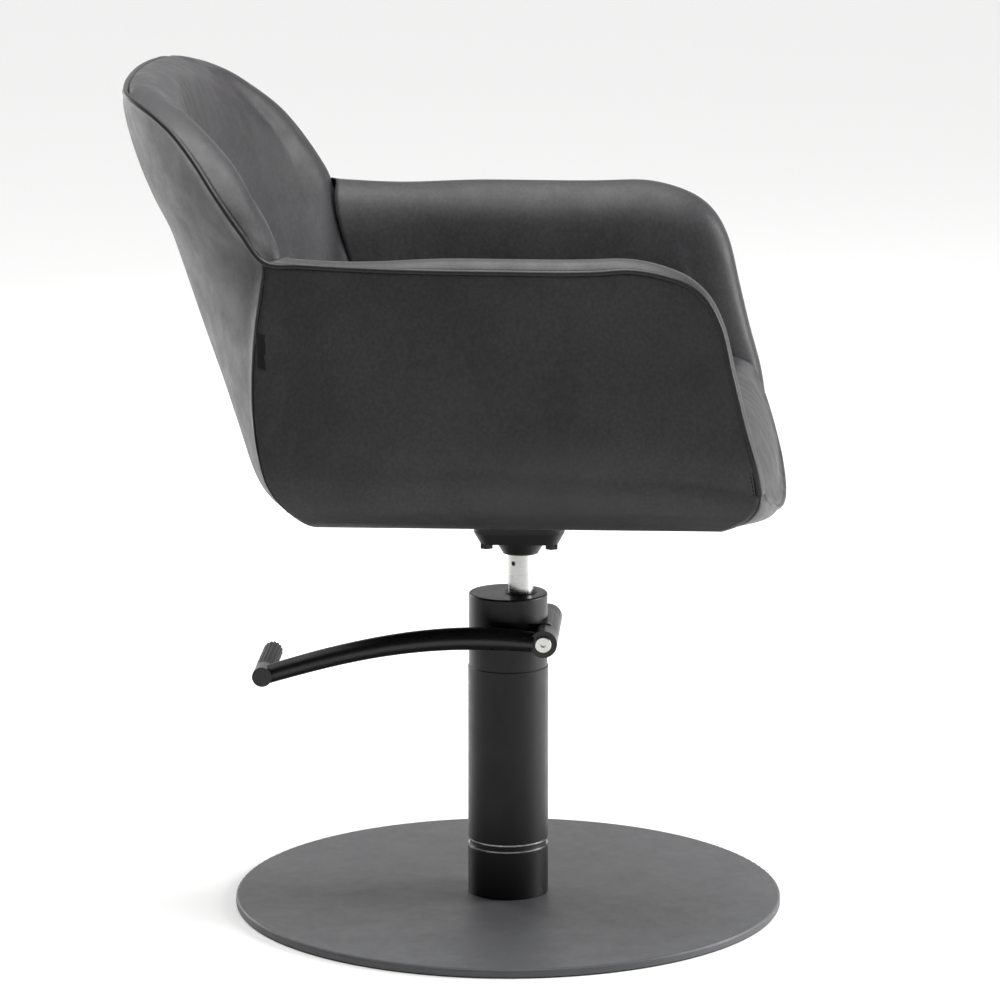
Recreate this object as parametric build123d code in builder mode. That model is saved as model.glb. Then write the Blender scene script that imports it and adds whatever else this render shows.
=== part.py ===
from build123d import *
import math
import os

# Salon styling chair: an upholstered tub seat on a hydraulic pump with a foot lever and a
# flat disc base. Millimetres. The origin is the centre of the base on the floor, +Z is up,
# the sitter faces -Y, and the sitter's right hand is at -X, where the lever is.

os.makedirs("parts", exist_ok=True)

# ---------------------------------------------------------------- driving dimensions
BASE_RADIUS = 290.0
BASE_THICK = 8.0
RUBBER_THICK = 1.5
BASE_TOP = RUBBER_THICK + BASE_THICK

COLUMN_RADIUS = 42.5
COLUMN_WALL = 3.0
COLUMN_BORE = COLUMN_RADIUS - COLUMN_WALL
COLLAR_TOP = 61.0
GROOVE_TOP = 69.6
CAP_BOTTOM = 257.0
CAP_TOP = 335.0
CAP_RADIUS = 41.6
FOOT_RADIUS = COLUMN_BORE - 0.1
FOOT_TOP = 60.0

RAM_Y = -13.0
ROD_RADIUS = 13.5
ROD_BOTTOM = 118.0
ROD_TOP = 404.0
CYLINDER_BORE = 18.0
CYLINDER_RADIUS = 21.0
CYLINDER_BOTTOM = 45.0
CYLINDER_TOP = 284.0
RUN_FIT = 0.05

AXLE_Y = -40.0
AXLE_Z = 294.0
AXLE_RADIUS = 6.0
BUSH_RADIUS = 7.5
BARREL_RADIUS = 14.5
BARREL_NEAR_X = -46.0
BARREL_FAR_X = 64.0
LEVER_NEAR_X = -66.0

CRANK_X = 27.0
CRANK_WIDTH = 9.0
CRANK_REACH = 22.0
CRANK_NOSE = 5.0
CRANK_REST = 15.0
PLUNGER_Y = AXLE_Y + CRANK_REACH
PLUNGER_RADIUS = 4.5
PLUNGER_HEAD_RADIUS = 6.2
PLUNGER_TOP = AXLE_Z + CRANK_REACH * math.sin(math.radians(CRANK_REST)) - CRANK_NOSE - 0.1
BLOCK_BOTTOM = 200.0
BLOCK_TOP = 255.0

PEDAL_Y = 254.0
PEDAL_Z = 257.0
PEDAL_RADIUS = 10.5
PEDAL_BAR_RADIUS = 6.0
PEDAL_NEAR_X = -74.0
PEDAL_FAR_X = 46.0

HUB_BOTTOM = 378.0
FLANGE_BOTTOM = 394.0
FLANGE_TOP = 410.0
FLANGE_SIZE = 95.0
BRACKET_THICK = 4.0
BRACKET_BOLT_X = 78.0
BRACKET_BOLT_Y = 58.0
TEE_NUT_RADIUS = 5.5
BOARD_BOTTOM = 458.0
BOARD_THICK = 15.0
BOARD_TOP = BOARD_BOTTOM + BOARD_THICK
BOARD_HALF = 258.0
BOARD_FRONT = -236.0
BOARD_REAR = 204.0

ARM_OUT = 300.0
ARM_PANEL = 24.0
ARM_FRAME = 16.0
ARM_PAD = 20.0
ARM_FRAME_OUT = ARM_OUT - ARM_PANEL
ARM_FRAME_IN = ARM_FRAME_OUT - ARM_FRAME
ARM_IN = ARM_FRAME_IN - ARM_PAD
ARM_TOP = 724.0
CROWN = 8.0

BACK_PANEL = 14.0
BACK_SHELL = 12.0
BACK_TOTAL = 62.0
BACK_TOP = 885.0

PIPING_RADIUS = 3.0

# Outer surface of the back at rising heights: height, half width, y at the side edges,
# y at the middle.
BACK_LEVELS = (
    (BOARD_TOP, 292.0, 214.0, 262.0),
    (600.0, 300.0, 235.0, 311.0),
    (727.0, 300.0, 222.0, 353.0),
    (800.0, 272.0, 282.0, 384.0),
    (850.0, 236.0, 324.0, 397.0),
    (BACK_TOP, 172.0, 376.0, 401.0),
)


def ring(outer, inner, height):
    """A plain ring standing on the current location."""
    Cylinder(outer, height, align=(Align.CENTER, Align.CENTER, Align.MIN))
    Cylinder(
        inner,
        height,
        align=(Align.CENTER, Align.CENTER, Align.MIN),
        mode=Mode.SUBTRACT,
    )


def back_sections(rear_depth, front_depth, levels=BACK_LEVELS):
    """Crescent sections, for a loft, between two depths behind the back's outer surface."""
    sections = []
    for height, half, end_y, mid_y in levels:
        with BuildSketch(Plane.XY.offset(height)) as section:
            with BuildLine():
                rear = ThreePointArc(
                    (-half, end_y - rear_depth),
                    (0, mid_y - rear_depth),
                    (half, end_y - rear_depth),
                )
                front = ThreePointArc(
                    (-half, end_y - front_depth),
                    (0, mid_y - front_depth),
                    (half, end_y - front_depth),
                )
                Line(rear @ 0, front @ 0)
                Line(rear @ 1, front @ 1)
            make_face()
        sections.append(section.sketch)
    return sections


def inset_levels(inset, top_drop):
    """The back's levels with each end drawn in, and the top one lowered by top_drop."""
    levels = []
    for height, half, end_y, mid_y in BACK_LEVELS[:-1] + (between(BACK_LEVELS[-2:], top_drop),):
        sagitta = mid_y - end_y
        radius = (half**2 + sagitta**2) / (2 * sagitta)
        end_x = half - inset
        side_y = mid_y - radius + math.sqrt(radius**2 - end_x**2)
        levels.append((height, end_x, side_y, mid_y))
    return levels


def between(pair, drop):
    """The level that lies drop below the upper one of two levels."""
    lower, upper = pair
    share = drop / (upper[0] - lower[0])
    return tuple(high + (low - high) * share for low, high in zip(lower, upper))


def arm_side(offset_x, inset=0.0, crown=0.0):
    """Side outline of an arm at one x: raked front, level top, rounded corners."""
    with BuildSketch(Plane.YZ.offset(offset_x)) as side_view:
        with BuildLine():
            FilletPolyline(
                (-100, 470),
                (-252, 480),
                (-268, 492),
                (-216 - crown / 3, ARM_TOP + crown),
                (214, ARM_TOP + crown),
                (228, 600),
                (206, 467),
                (60, 463),
                radius=[10, 9, 85, 6, 300, 20],
            )
            Line((60, 463), (-100, 470))
        make_face()
        if inset:
            offset(amount=-inset, mode=Mode.REPLACE)
    return side_view.sketch


# ---------------------------------------------------------------- base
FOOT_BOLT_CIRCLE = 27.0
FOOT_BOLT_RADIUS = 5.0
FOOT_BOLT_HEAD = 10.0
FOOT_BOLT_END = 38.0

with BuildPart() as base_disc:
    with BuildSketch(Plane.XY.offset(RUBBER_THICK)):
        Circle(BASE_RADIUS)
    extrude(amount=BASE_THICK)
    fillet(base_disc.faces().sort_by(Axis.Z)[-1].edges(), 3)
    with BuildSketch(Plane.XY.offset(RUBBER_THICK)):
        with PolarLocations(FOOT_BOLT_CIRCLE, 4, 45):
            Circle(FOOT_BOLT_HEAD)
    extrude(amount=BASE_THICK, taper=45, mode=Mode.SUBTRACT)
    with BuildSketch(Plane.XY.offset(RUBBER_THICK)):
        with PolarLocations(FOOT_BOLT_CIRCLE, 4, 45):
            Circle(FOOT_BOLT_RADIUS)
    extrude(amount=BASE_THICK, mode=Mode.SUBTRACT)
base_disc.part.label = "base_disc"
export_step(base_disc.part, "parts/base_disc.step")

with BuildPart() as rubber_edge:
    ring(BASE_RADIUS - 1, BASE_RADIUS - 28, RUBBER_THICK)
rubber_edge.part.label = "rubber_edge"
export_step(rubber_edge.part, "parts/rubber_edge.step")

# ---------------------------------------------------------------- pump foot and column
with BuildPart() as pump_foot:
    with BuildSketch(Plane.XY.offset(BASE_TOP)):
        Circle(FOOT_RADIUS)
    extrude(amount=FOOT_TOP - BASE_TOP)
    with BuildSketch(Plane.XY.offset(CYLINDER_BOTTOM)):
        with Locations((0, RAM_Y)):
            Circle(CYLINDER_RADIUS)
    extrude(amount=FOOT_TOP - CYLINDER_BOTTOM, mode=Mode.SUBTRACT)
    with BuildSketch(Plane.XY.offset(BASE_TOP)):
        with PolarLocations(FOOT_BOLT_CIRCLE, 4, 45):
            Circle(FOOT_BOLT_RADIUS)
    extrude(amount=FOOT_BOLT_END - BASE_TOP, mode=Mode.SUBTRACT)
pump_foot.part.label = "pump_foot"
export_step(pump_foot.part, "parts/pump_foot.step")

with BuildPart() as foot_bolts:
    with BuildSketch(Plane.XY.offset(RUBBER_THICK)):
        with PolarLocations(FOOT_BOLT_CIRCLE, 4, 45):
            Circle(FOOT_BOLT_HEAD)
    extrude(amount=FOOT_BOLT_HEAD - FOOT_BOLT_RADIUS, taper=45)
    with BuildSketch(Plane.XY.offset(RUBBER_THICK)):
        with PolarLocations(FOOT_BOLT_CIRCLE, 4, 45):
            Circle(FOOT_BOLT_RADIUS)
    extrude(amount=FOOT_BOLT_END - RUBBER_THICK)
    with BuildSketch(Plane.XY.offset(RUBBER_THICK)):
        with PolarLocations(FOOT_BOLT_CIRCLE, 4, 45):
            RegularPolygon(3.4, 6)
    extrude(amount=4, mode=Mode.SUBTRACT)
foot_bolts.part.label = "foot_bolts"
export_step(foot_bolts.part, "parts/foot_bolts.step")

with BuildPart() as lower_collar:
    with Locations((0, 0, BASE_TOP)):
        ring(COLUMN_RADIUS, COLUMN_BORE, COLLAR_TOP - BASE_TOP)
    chamfer(lower_collar.edges().filter_by(GeomType.CIRCLE).group_by(SortBy.RADIUS)[-1], 0.6)
lower_collar.part.label = "lower_collar"
export_step(lower_collar.part, "parts/lower_collar.step")

TRIM_THICK = 1.6
with BuildPart() as trim_rings:
    with Locations((0, 0, COLLAR_TOP), (0, 0, GROOVE_TOP - TRIM_THICK)):
        ring(COLUMN_RADIUS - 0.3, COLUMN_BORE, TRIM_THICK)
trim_rings.part.label = "trim_rings"
export_step(trim_rings.part, "parts/trim_rings.step")

with BuildPart() as groove_spacer:
    with Locations((0, 0, COLLAR_TOP + TRIM_THICK)):
        ring(COLUMN_RADIUS - 1.8, COLUMN_BORE, GROOVE_TOP - COLLAR_TOP - 2 * TRIM_THICK)
groove_spacer.part.label = "groove_spacer"
export_step(groove_spacer.part, "parts/groove_spacer.step")

with BuildPart() as column_sleeve:
    with Locations((0, 0, GROOVE_TOP)):
        ring(COLUMN_RADIUS, COLUMN_BORE, CAP_BOTTOM - GROOVE_TOP)
    chamfer(column_sleeve.edges().filter_by(GeomType.CIRCLE).group_by(SortBy.RADIUS)[-1], 0.6)
column_sleeve.part.label = "column_sleeve"
export_step(column_sleeve.part, "parts/column_sleeve.step")

with BuildPart() as pump_cylinder:
    with Locations((0, RAM_Y, CYLINDER_BOTTOM)):
        ring(CYLINDER_RADIUS, CYLINDER_BORE, CYLINDER_TOP - CYLINDER_BOTTOM)
pump_cylinder.part.label = "pump_cylinder"
export_step(pump_cylinder.part, "parts/pump_cylinder.step")

TIE_ROD_PLACES = ((-26, 20), (0, 32), (26, 20))
TIE_ROD_RADIUS = 3.0
TIE_ROD_END = 272.0
with BuildPart() as tie_rods:
    with BuildSketch(Plane.XY.offset(FOOT_TOP)):
        with Locations(*TIE_ROD_PLACES):
            Circle(TIE_ROD_RADIUS)
    extrude(amount=TIE_ROD_END - FOOT_TOP)
tie_rods.part.label = "tie_rods"
export_step(tie_rods.part, "parts/tie_rods.step")

with BuildPart() as pump_block:
    with BuildSketch(Plane.XY.offset(BLOCK_BOTTOM)):
        Circle(COLUMN_BORE - 0.2)
        with Locations((0, RAM_Y)):
            Circle(CYLINDER_RADIUS, mode=Mode.SUBTRACT)
        with Locations((CRANK_X, PLUNGER_Y)):
            Circle(PLUNGER_RADIUS + RUN_FIT, mode=Mode.SUBTRACT)
        with Locations(*TIE_ROD_PLACES):
            Circle(TIE_ROD_RADIUS, mode=Mode.SUBTRACT)
    extrude(amount=BLOCK_TOP - BLOCK_BOTTOM)
pump_block.part.label = "pump_block"
export_step(pump_block.part, "parts/pump_block.step")

CHECK_BALL_RADIUS = 3.0
with BuildPart() as check_balls:
    with Locations(
        (CRANK_X, PLUNGER_Y, BLOCK_BOTTOM + CHECK_BALL_RADIUS),
        (CRANK_X, PLUNGER_Y, BLOCK_BOTTOM - CHECK_BALL_RADIUS - 1),
    ):
        Sphere(CHECK_BALL_RADIUS)
check_balls.part.label = "check_balls"
export_step(check_balls.part, "parts/check_balls.step")

with BuildPart() as valve_seat:
    with Locations((CRANK_X, PLUNGER_Y, BLOCK_BOTTOM - 14)):
        ring(5.5, CHECK_BALL_RADIUS + RUN_FIT, 14)
valve_seat.part.label = "valve_seat"
export_step(valve_seat.part, "parts/valve_seat.step")

# ---------------------------------------------------------------- pump cap
POCKET_HALF_HEIGHT = 12.5
BUSH_TOP = 329.0
WIPER_RADIUS = 17.5
with BuildPart() as pump_cap:
    with BuildSketch(Plane.XY.offset(CAP_BOTTOM)):
        Circle(CAP_RADIUS)
    extrude(amount=CAP_TOP - CAP_BOTTOM)
    fillet(pump_cap.faces().sort_by(Axis.Z)[-1].edges(), 2)
    # Saddle that joins the lever barrel to the cap.
    with BuildSketch(Plane.YZ.offset(-34)):
        with Locations((AXLE_Y / 2 - 8, AXLE_Z)):
            RectangleRounded(40, 2 * BARREL_RADIUS + 1, 5)
    extrude(amount=74)
    with BuildSketch(Plane.YZ.offset(BARREL_NEAR_X)):
        with Locations((AXLE_Y, AXLE_Z)):
            Circle(BARREL_RADIUS)
    extrude(amount=BARREL_FAR_X - BARREL_NEAR_X)
    # Ram bore, cylinder seat, axle bore, crank pocket, plunger well and tie rod holes.
    with BuildSketch(Plane.XY.offset(CAP_BOTTOM)):
        with Locations((0, RAM_Y)):
            Circle(WIPER_RADIUS)
    extrude(amount=CAP_TOP - CAP_BOTTOM, mode=Mode.SUBTRACT)
    with BuildSketch(Plane.XY.offset(CAP_BOTTOM)):
        with Locations((0, RAM_Y)):
            Circle(CYLINDER_RADIUS)
    extrude(amount=CYLINDER_TOP - CAP_BOTTOM, mode=Mode.SUBTRACT)
    with BuildSketch(Plane.YZ.offset(BARREL_NEAR_X)):
        with Locations((AXLE_Y, AXLE_Z)):
            Circle(BUSH_RADIUS)
    extrude(amount=BARREL_FAR_X - BARREL_NEAR_X, mode=Mode.SUBTRACT)
    with BuildSketch(Plane.YZ.offset(CRANK_X - CRANK_WIDTH / 2 - 0.5)):
        with Locations((AXLE_Y, AXLE_Z)):
            Circle(11)
        with Locations((AXLE_Y + 15, AXLE_Z)):
            Rectangle(30, 2 * POCKET_HALF_HEIGHT)
    extrude(amount=CRANK_WIDTH + 1, mode=Mode.SUBTRACT)
    with BuildSketch(Plane.XY.offset(CAP_BOTTOM)):
        with Locations((CRANK_X, PLUNGER_Y)):
            Circle(PLUNGER_HEAD_RADIUS + 0.7)
    extrude(amount=AXLE_Z + POCKET_HALF_HEIGHT - CAP_BOTTOM, mode=Mode.SUBTRACT)
    with BuildSketch(Plane.XY.offset(CAP_BOTTOM)):
        with Locations(*TIE_ROD_PLACES):
            Circle(TIE_ROD_RADIUS)
    extrude(amount=TIE_ROD_END - CAP_BOTTOM, mode=Mode.SUBTRACT)
pump_cap.part.label = "pump_cap"
export_step(pump_cap.part, "parts/pump_cap.step")

with BuildPart() as rod_bush:
    with Locations((0, RAM_Y, CYLINDER_TOP)):
        ring(WIPER_RADIUS, ROD_RADIUS + RUN_FIT, BUSH_TOP - CYLINDER_TOP)
rod_bush.part.label = "rod_bush"
export_step(rod_bush.part, "parts/rod_bush.step")

with BuildPart() as rod_wiper:
    with Locations((0, RAM_Y, BUSH_TOP)):
        ring(WIPER_RADIUS, ROD_RADIUS + RUN_FIT, CAP_TOP + 1 - BUSH_TOP)
    chamfer(rod_wiper.faces().sort_by(Axis.Z)[-1].edges().sort_by(SortBy.RADIUS)[-1], 1.2)
rod_wiper.part.label = "rod_wiper"
export_step(rod_wiper.part, "parts/rod_wiper.step")

BUSH_LENGTH = 16.0
with BuildPart() as axle_bushes:
    with BuildSketch(Plane.YZ.offset(BARREL_NEAR_X)):
        with Locations((AXLE_Y, AXLE_Z)):
            Circle(BUSH_RADIUS)
            Circle(AXLE_RADIUS + RUN_FIT, mode=Mode.SUBTRACT)
    extrude(amount=BUSH_LENGTH)
    with BuildSketch(Plane.YZ.offset(BARREL_FAR_X - BUSH_LENGTH)):
        with Locations((AXLE_Y, AXLE_Z)):
            Circle(BUSH_RADIUS)
            Circle(AXLE_RADIUS + RUN_FIT, mode=Mode.SUBTRACT)
    extrude(amount=BUSH_LENGTH)
axle_bushes.part.label = "axle_bushes"
export_step(axle_bushes.part, "parts/axle_bushes.step")

# ---------------------------------------------------------------- lever
BOSS_FAR_X = BARREL_NEAR_X - 0.5
with BuildPart() as lever_arm:
    with BuildLine():
        course = Spline(
            (-58.5, -30, 294.5),
            (-57.5, 32, 297.5),
            (-57.5, 110, 291),
            (-58, 190, 274),
            (-60, PEDAL_Y - 2, PEDAL_Z - 1),
        )
    for place, radius in ((0, 10.5), (0.2, 12), (0.5, 11.2), (0.8, 10.4), (1, 9.6)):
        with BuildSketch(Plane(origin=course @ place, z_dir=course % place)):
            Circle(radius)
    loft()
    with BuildSketch(Plane.YZ.offset(LEVER_NEAR_X)):
        with Locations((AXLE_Y, AXLE_Z)):
            Circle(BARREL_RADIUS)
    extrude(amount=BOSS_FAR_X - LEVER_NEAR_X)
    with BuildSketch(Plane.YZ.offset(PEDAL_NEAR_X)):
        with Locations((PEDAL_Y, PEDAL_Z)):
            Circle(PEDAL_RADIUS)
    extrude(amount=26)
    with BuildSketch(Plane.YZ.offset(LEVER_NEAR_X)):
        with Locations((AXLE_Y, AXLE_Z)):
            Circle(AXLE_RADIUS)
    extrude(amount=BOSS_FAR_X - LEVER_NEAR_X, mode=Mode.SUBTRACT)
    with BuildSketch(Plane.YZ.offset(PEDAL_NEAR_X + 6)):
        with Locations((PEDAL_Y, PEDAL_Z)):
            Circle(PEDAL_BAR_RADIUS)
    extrude(amount=20, mode=Mode.SUBTRACT)
lever_arm.part.label = "lever_arm"
export_step(lever_arm.part, "parts/lever_arm.step")

with BuildPart() as lever_axle:
    with BuildSketch(Plane.YZ.offset(LEVER_NEAR_X)):
        with Locations((AXLE_Y, AXLE_Z)):
            Circle(AXLE_RADIUS)
    extrude(amount=BARREL_FAR_X + 4 - LEVER_NEAR_X)
    with BuildSketch(Plane.YZ.offset(LEVER_NEAR_X)):
        with Locations((AXLE_Y, AXLE_Z)):
            Circle(3)
    extrude(amount=12, mode=Mode.SUBTRACT)
lever_axle.part.label = "lever_axle"
export_step(lever_axle.part, "parts/lever_axle.step")

with BuildPart() as axle_bolt:
    with BuildSketch(Plane.YZ.offset(LEVER_NEAR_X - 3)):
        with Locations((AXLE_Y, AXLE_Z)):
            Circle(8.5)
    extrude(amount=3)
    fillet(axle_bolt.faces().sort_by(Axis.X)[0].edges(), 1)
    with BuildSketch(Plane.YZ.offset(LEVER_NEAR_X)):
        with Locations((AXLE_Y, AXLE_Z)):
            Circle(3)
    extrude(amount=11)
    with BuildSketch(Plane.YZ.offset(LEVER_NEAR_X - 3)):
        with Locations((AXLE_Y, AXLE_Z)):
            RegularPolygon(2.9, 6)
    extrude(amount=2.5, mode=Mode.SUBTRACT)
axle_bolt.part.label = "axle_bolt"
export_step(axle_bolt.part, "parts/axle_bolt.step")

with BuildPart() as axle_clip:
    with BuildSketch(Plane.YZ.offset(BARREL_FAR_X + 0.4)):
        with Locations((AXLE_Y, AXLE_Z)):
            Circle(10)
            Circle(AXLE_RADIUS, mode=Mode.SUBTRACT)
    extrude(amount=1.6)
axle_clip.part.label = "axle_clip"
export_step(axle_clip.part, "parts/axle_clip.step")

CRANK_NOSE_Y = AXLE_Y + CRANK_REACH * math.cos(math.radians(CRANK_REST))
CRANK_NOSE_Z = AXLE_Z + CRANK_REACH * math.sin(math.radians(CRANK_REST))
with BuildPart() as crank:
    with BuildSketch(Plane.YZ.offset(CRANK_X - CRANK_WIDTH / 2)):
        with Locations((AXLE_Y, AXLE_Z)):
            Circle(10)
        with Locations((CRANK_NOSE_Y, CRANK_NOSE_Z)):
            Circle(CRANK_NOSE)
        with Locations(
            Location(
                ((AXLE_Y + CRANK_NOSE_Y) / 2, (AXLE_Z + CRANK_NOSE_Z) / 2, 0),
                (0, 0, CRANK_REST),
            )
        ):
            Rectangle(CRANK_REACH, 6.4)
        with Locations((AXLE_Y, AXLE_Z)):
            Circle(AXLE_RADIUS, mode=Mode.SUBTRACT)
    extrude(amount=CRANK_WIDTH)
crank.part.label = "crank"
export_step(crank.part, "parts/crank.step")

with BuildPart() as pedal_bar:
    with BuildSketch(Plane.YZ.offset(PEDAL_NEAR_X + 6)):
        with Locations((PEDAL_Y, PEDAL_Z)):
            Circle(PEDAL_BAR_RADIUS)
    extrude(amount=PEDAL_FAR_X - 5 - PEDAL_NEAR_X - 6)
pedal_bar.part.label = "pedal_bar"
export_step(pedal_bar.part, "parts/pedal_bar.step")

GRIP_NEAR_X = PEDAL_NEAR_X + 26
with BuildPart() as pedal_grip:
    with BuildSketch(Plane.YZ.offset(GRIP_NEAR_X)):
        with Locations((PEDAL_Y, PEDAL_Z)):
            Circle(PEDAL_RADIUS)
            with PolarLocations(PEDAL_RADIUS + 0.2, 16):
                Circle(1, mode=Mode.SUBTRACT)
    extrude(amount=PEDAL_FAR_X - GRIP_NEAR_X)
    with BuildSketch(Plane.YZ.offset(GRIP_NEAR_X)):
        with Locations((PEDAL_Y, PEDAL_Z)):
            Circle(PEDAL_BAR_RADIUS)
    extrude(amount=PEDAL_FAR_X - 5 - GRIP_NEAR_X, mode=Mode.SUBTRACT)
pedal_grip.part.label = "pedal_grip"
export_step(pedal_grip.part, "parts/pedal_grip.step")

# ---------------------------------------------------------------- pump plunger
with BuildPart() as plunger:
    with BuildSketch(Plane.XY.offset(BLOCK_BOTTOM + 2 * CHECK_BALL_RADIUS + 13)):
        with Locations((CRANK_X, PLUNGER_Y)):
            Circle(PLUNGER_RADIUS)
    extrude(amount=PLUNGER_TOP - BLOCK_BOTTOM - 2 * CHECK_BALL_RADIUS - 13)
    with BuildSketch(Plane.XY.offset(PLUNGER_TOP - 5)):
        with Locations((CRANK_X, PLUNGER_Y)):
            Circle(PLUNGER_HEAD_RADIUS)
    extrude(amount=5)
plunger.part.label = "plunger"
export_step(plunger.part, "parts/plunger.step")

SPRING_WIRE = 0.6
SPRING_TURNS = 7
with BuildPart() as plunger_spring:
    with BuildLine():
        coil = Helix(
            pitch=(PLUNGER_TOP - 5 - BLOCK_TOP - 4 * SPRING_WIRE) / SPRING_TURNS,
            height=PLUNGER_TOP - 5 - BLOCK_TOP - 4 * SPRING_WIRE,
            radius=PLUNGER_RADIUS + 1.3,
            center=(CRANK_X, PLUNGER_Y, BLOCK_TOP + 2 * SPRING_WIRE),
        )
    with BuildSketch(Plane(origin=coil @ 0, z_dir=coil % 0)):
        Circle(SPRING_WIRE)
    sweep(is_frenet=True)
plunger_spring.part.label = "plunger_spring"
export_step(plunger_spring.part, "parts/plunger_spring.step")

# ---------------------------------------------------------------- ram
HEAD_BOTTOM = 94.0
HEAD_TOP = 112.0
THRUST_BALL = 4.0
with BuildPart() as ram_head:
    with BuildSketch(Plane.XY.offset(HEAD_BOTTOM)):
        with Locations((0, RAM_Y)):
            Circle(CYLINDER_BORE - RUN_FIT)
    extrude(amount=HEAD_TOP - HEAD_BOTTOM)
    with BuildSketch(Plane.XY.offset(HEAD_BOTTOM + 6)):
        with Locations((0, RAM_Y)):
            Circle(CYLINDER_BORE)
            Circle(CYLINDER_BORE - 3, mode=Mode.SUBTRACT)
    extrude(amount=6, mode=Mode.SUBTRACT)
    with Locations((0, RAM_Y, ROD_BOTTOM - 0.1 - THRUST_BALL)):
        Sphere(THRUST_BALL, mode=Mode.SUBTRACT)
ram_head.part.label = "ram_head"
export_step(ram_head.part, "parts/ram_head.step")

with BuildPart() as ram_seal:
    with Locations((0, RAM_Y, HEAD_BOTTOM + 6)):
        ring(CYLINDER_BORE - 0.02, CYLINDER_BORE - 3, 6)
ram_seal.part.label = "ram_seal"
export_step(ram_seal.part, "parts/ram_seal.step")

with BuildPart() as thrust_ball:
    with Locations((0, RAM_Y, ROD_BOTTOM - 0.1 - THRUST_BALL)):
        Sphere(THRUST_BALL)
thrust_ball.part.label = "thrust_ball"
export_step(thrust_ball.part, "parts/thrust_ball.step")

CROSS_HOLE_Z = 368.0
CROSS_HOLE_TURN = 31.0
with BuildPart() as piston_rod:
    with BuildSketch(Plane.XY.offset(ROD_BOTTOM)):
        with Locations((0, RAM_Y)):
            Circle(ROD_RADIUS)
    extrude(amount=ROD_TOP - ROD_BOTTOM)
    chamfer(piston_rod.faces().sort_by(Axis.Z)[-1].edges(), 1)
    with Locations(
        Location((0, RAM_Y, CROSS_HOLE_Z), (0, 90, 0))
        * Location((0, 0, 0), (CROSS_HOLE_TURN, 0, 0))
    ):
        Cylinder(2.5, 2 * ROD_RADIUS + 2, mode=Mode.SUBTRACT)
piston_rod.part.label = "piston_rod"
export_step(piston_rod.part, "parts/piston_rod.step")

# ---------------------------------------------------------------- seat mounting
HUB_BOLT_X = 30.0
HUB_BOLT_Y = 34.0
HUB_BOLT_RADIUS = 4.0
with BuildPart() as seat_hub:
    with BuildSketch(Plane.XY.offset(HUB_BOTTOM)):
        with Locations((0, RAM_Y)):
            Circle(19)
    extrude(amount=2)
    with BuildSketch(Plane.XY.offset(HUB_BOTTOM + 2)):
        with Locations((0, RAM_Y)):
            Circle(20)
    with BuildSketch(Plane.XY.offset(FLANGE_BOTTOM)):
        with Locations((0, RAM_Y)):
            Circle(28)
    loft()
    with BuildSketch(Plane.XY.offset(FLANGE_BOTTOM)):
        with Locations((0, RAM_Y)):
            RectangleRounded(FLANGE_SIZE - 13, FLANGE_SIZE - 13, 14)
    with BuildSketch(Plane.XY.offset(FLANGE_TOP - 4)):
        with Locations((0, RAM_Y)):
            RectangleRounded(FLANGE_SIZE, FLANGE_SIZE, 18)
    loft()
    with BuildSketch(Plane.XY.offset(FLANGE_TOP - 4)):
        with Locations((0, RAM_Y)):
            RectangleRounded(FLANGE_SIZE, FLANGE_SIZE, 18)
    extrude(amount=4)
    with BuildSketch(Plane.XY.offset(HUB_BOTTOM)):
        with Locations((0, RAM_Y)):
            Circle(ROD_RADIUS)
    extrude(amount=ROD_TOP - HUB_BOTTOM, mode=Mode.SUBTRACT)
    with BuildSketch(Plane.XY.offset(FLANGE_BOTTOM)):
        with Locations((0, RAM_Y)):
            with GridLocations(2 * HUB_BOLT_X, 2 * HUB_BOLT_Y, 2, 2):
                Circle(HUB_BOLT_RADIUS)
    extrude(amount=FLANGE_TOP - FLANGE_BOTTOM, mode=Mode.SUBTRACT)
seat_hub.part.label = "seat_hub"
export_step(seat_hub.part, "parts/seat_hub.step")

with BuildPart() as seat_bracket:
    with BuildSketch(Plane.XY.offset(FLANGE_TOP)):
        with Locations((0, RAM_Y)):
            RectangleRounded(FLANGE_SIZE + 1, FLANGE_SIZE + 1, 18)
    with BuildSketch(Plane.XY.offset(BOARD_BOTTOM - BRACKET_THICK)):
        with Locations((0, RAM_Y)):
            RectangleRounded(130, 110, 20)
    loft()
    with BuildSketch(Plane.XY.offset(FLANGE_TOP + BRACKET_THICK)):
        with Locations((0, RAM_Y)):
            RectangleRounded(FLANGE_SIZE - 7, FLANGE_SIZE - 7, 14)
    with BuildSketch(Plane.XY.offset(BOARD_BOTTOM - BRACKET_THICK)):
        with Locations((0, RAM_Y)):
            RectangleRounded(122, 102, 16)
    loft(mode=Mode.SUBTRACT)
    with BuildSketch(Plane.XY.offset(BOARD_BOTTOM - BRACKET_THICK)):
        with Locations((0, RAM_Y)):
            RectangleRounded(190, 150, 12)
            RectangleRounded(122, 102, 16, mode=Mode.SUBTRACT)
            with GridLocations(2 * BRACKET_BOLT_X, 2 * BRACKET_BOLT_Y, 2, 2):
                Circle(HUB_BOLT_RADIUS, mode=Mode.SUBTRACT)
    extrude(amount=BRACKET_THICK)
    with BuildSketch(Plane.XY.offset(FLANGE_TOP)):
        with Locations((0, RAM_Y)):
            with GridLocations(2 * HUB_BOLT_X, 2 * HUB_BOLT_Y, 2, 2):
                Circle(HUB_BOLT_RADIUS)
    extrude(amount=BRACKET_THICK, mode=Mode.SUBTRACT)
seat_bracket.part.label = "seat_bracket"
export_step(seat_bracket.part, "parts/seat_bracket.step")

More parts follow.
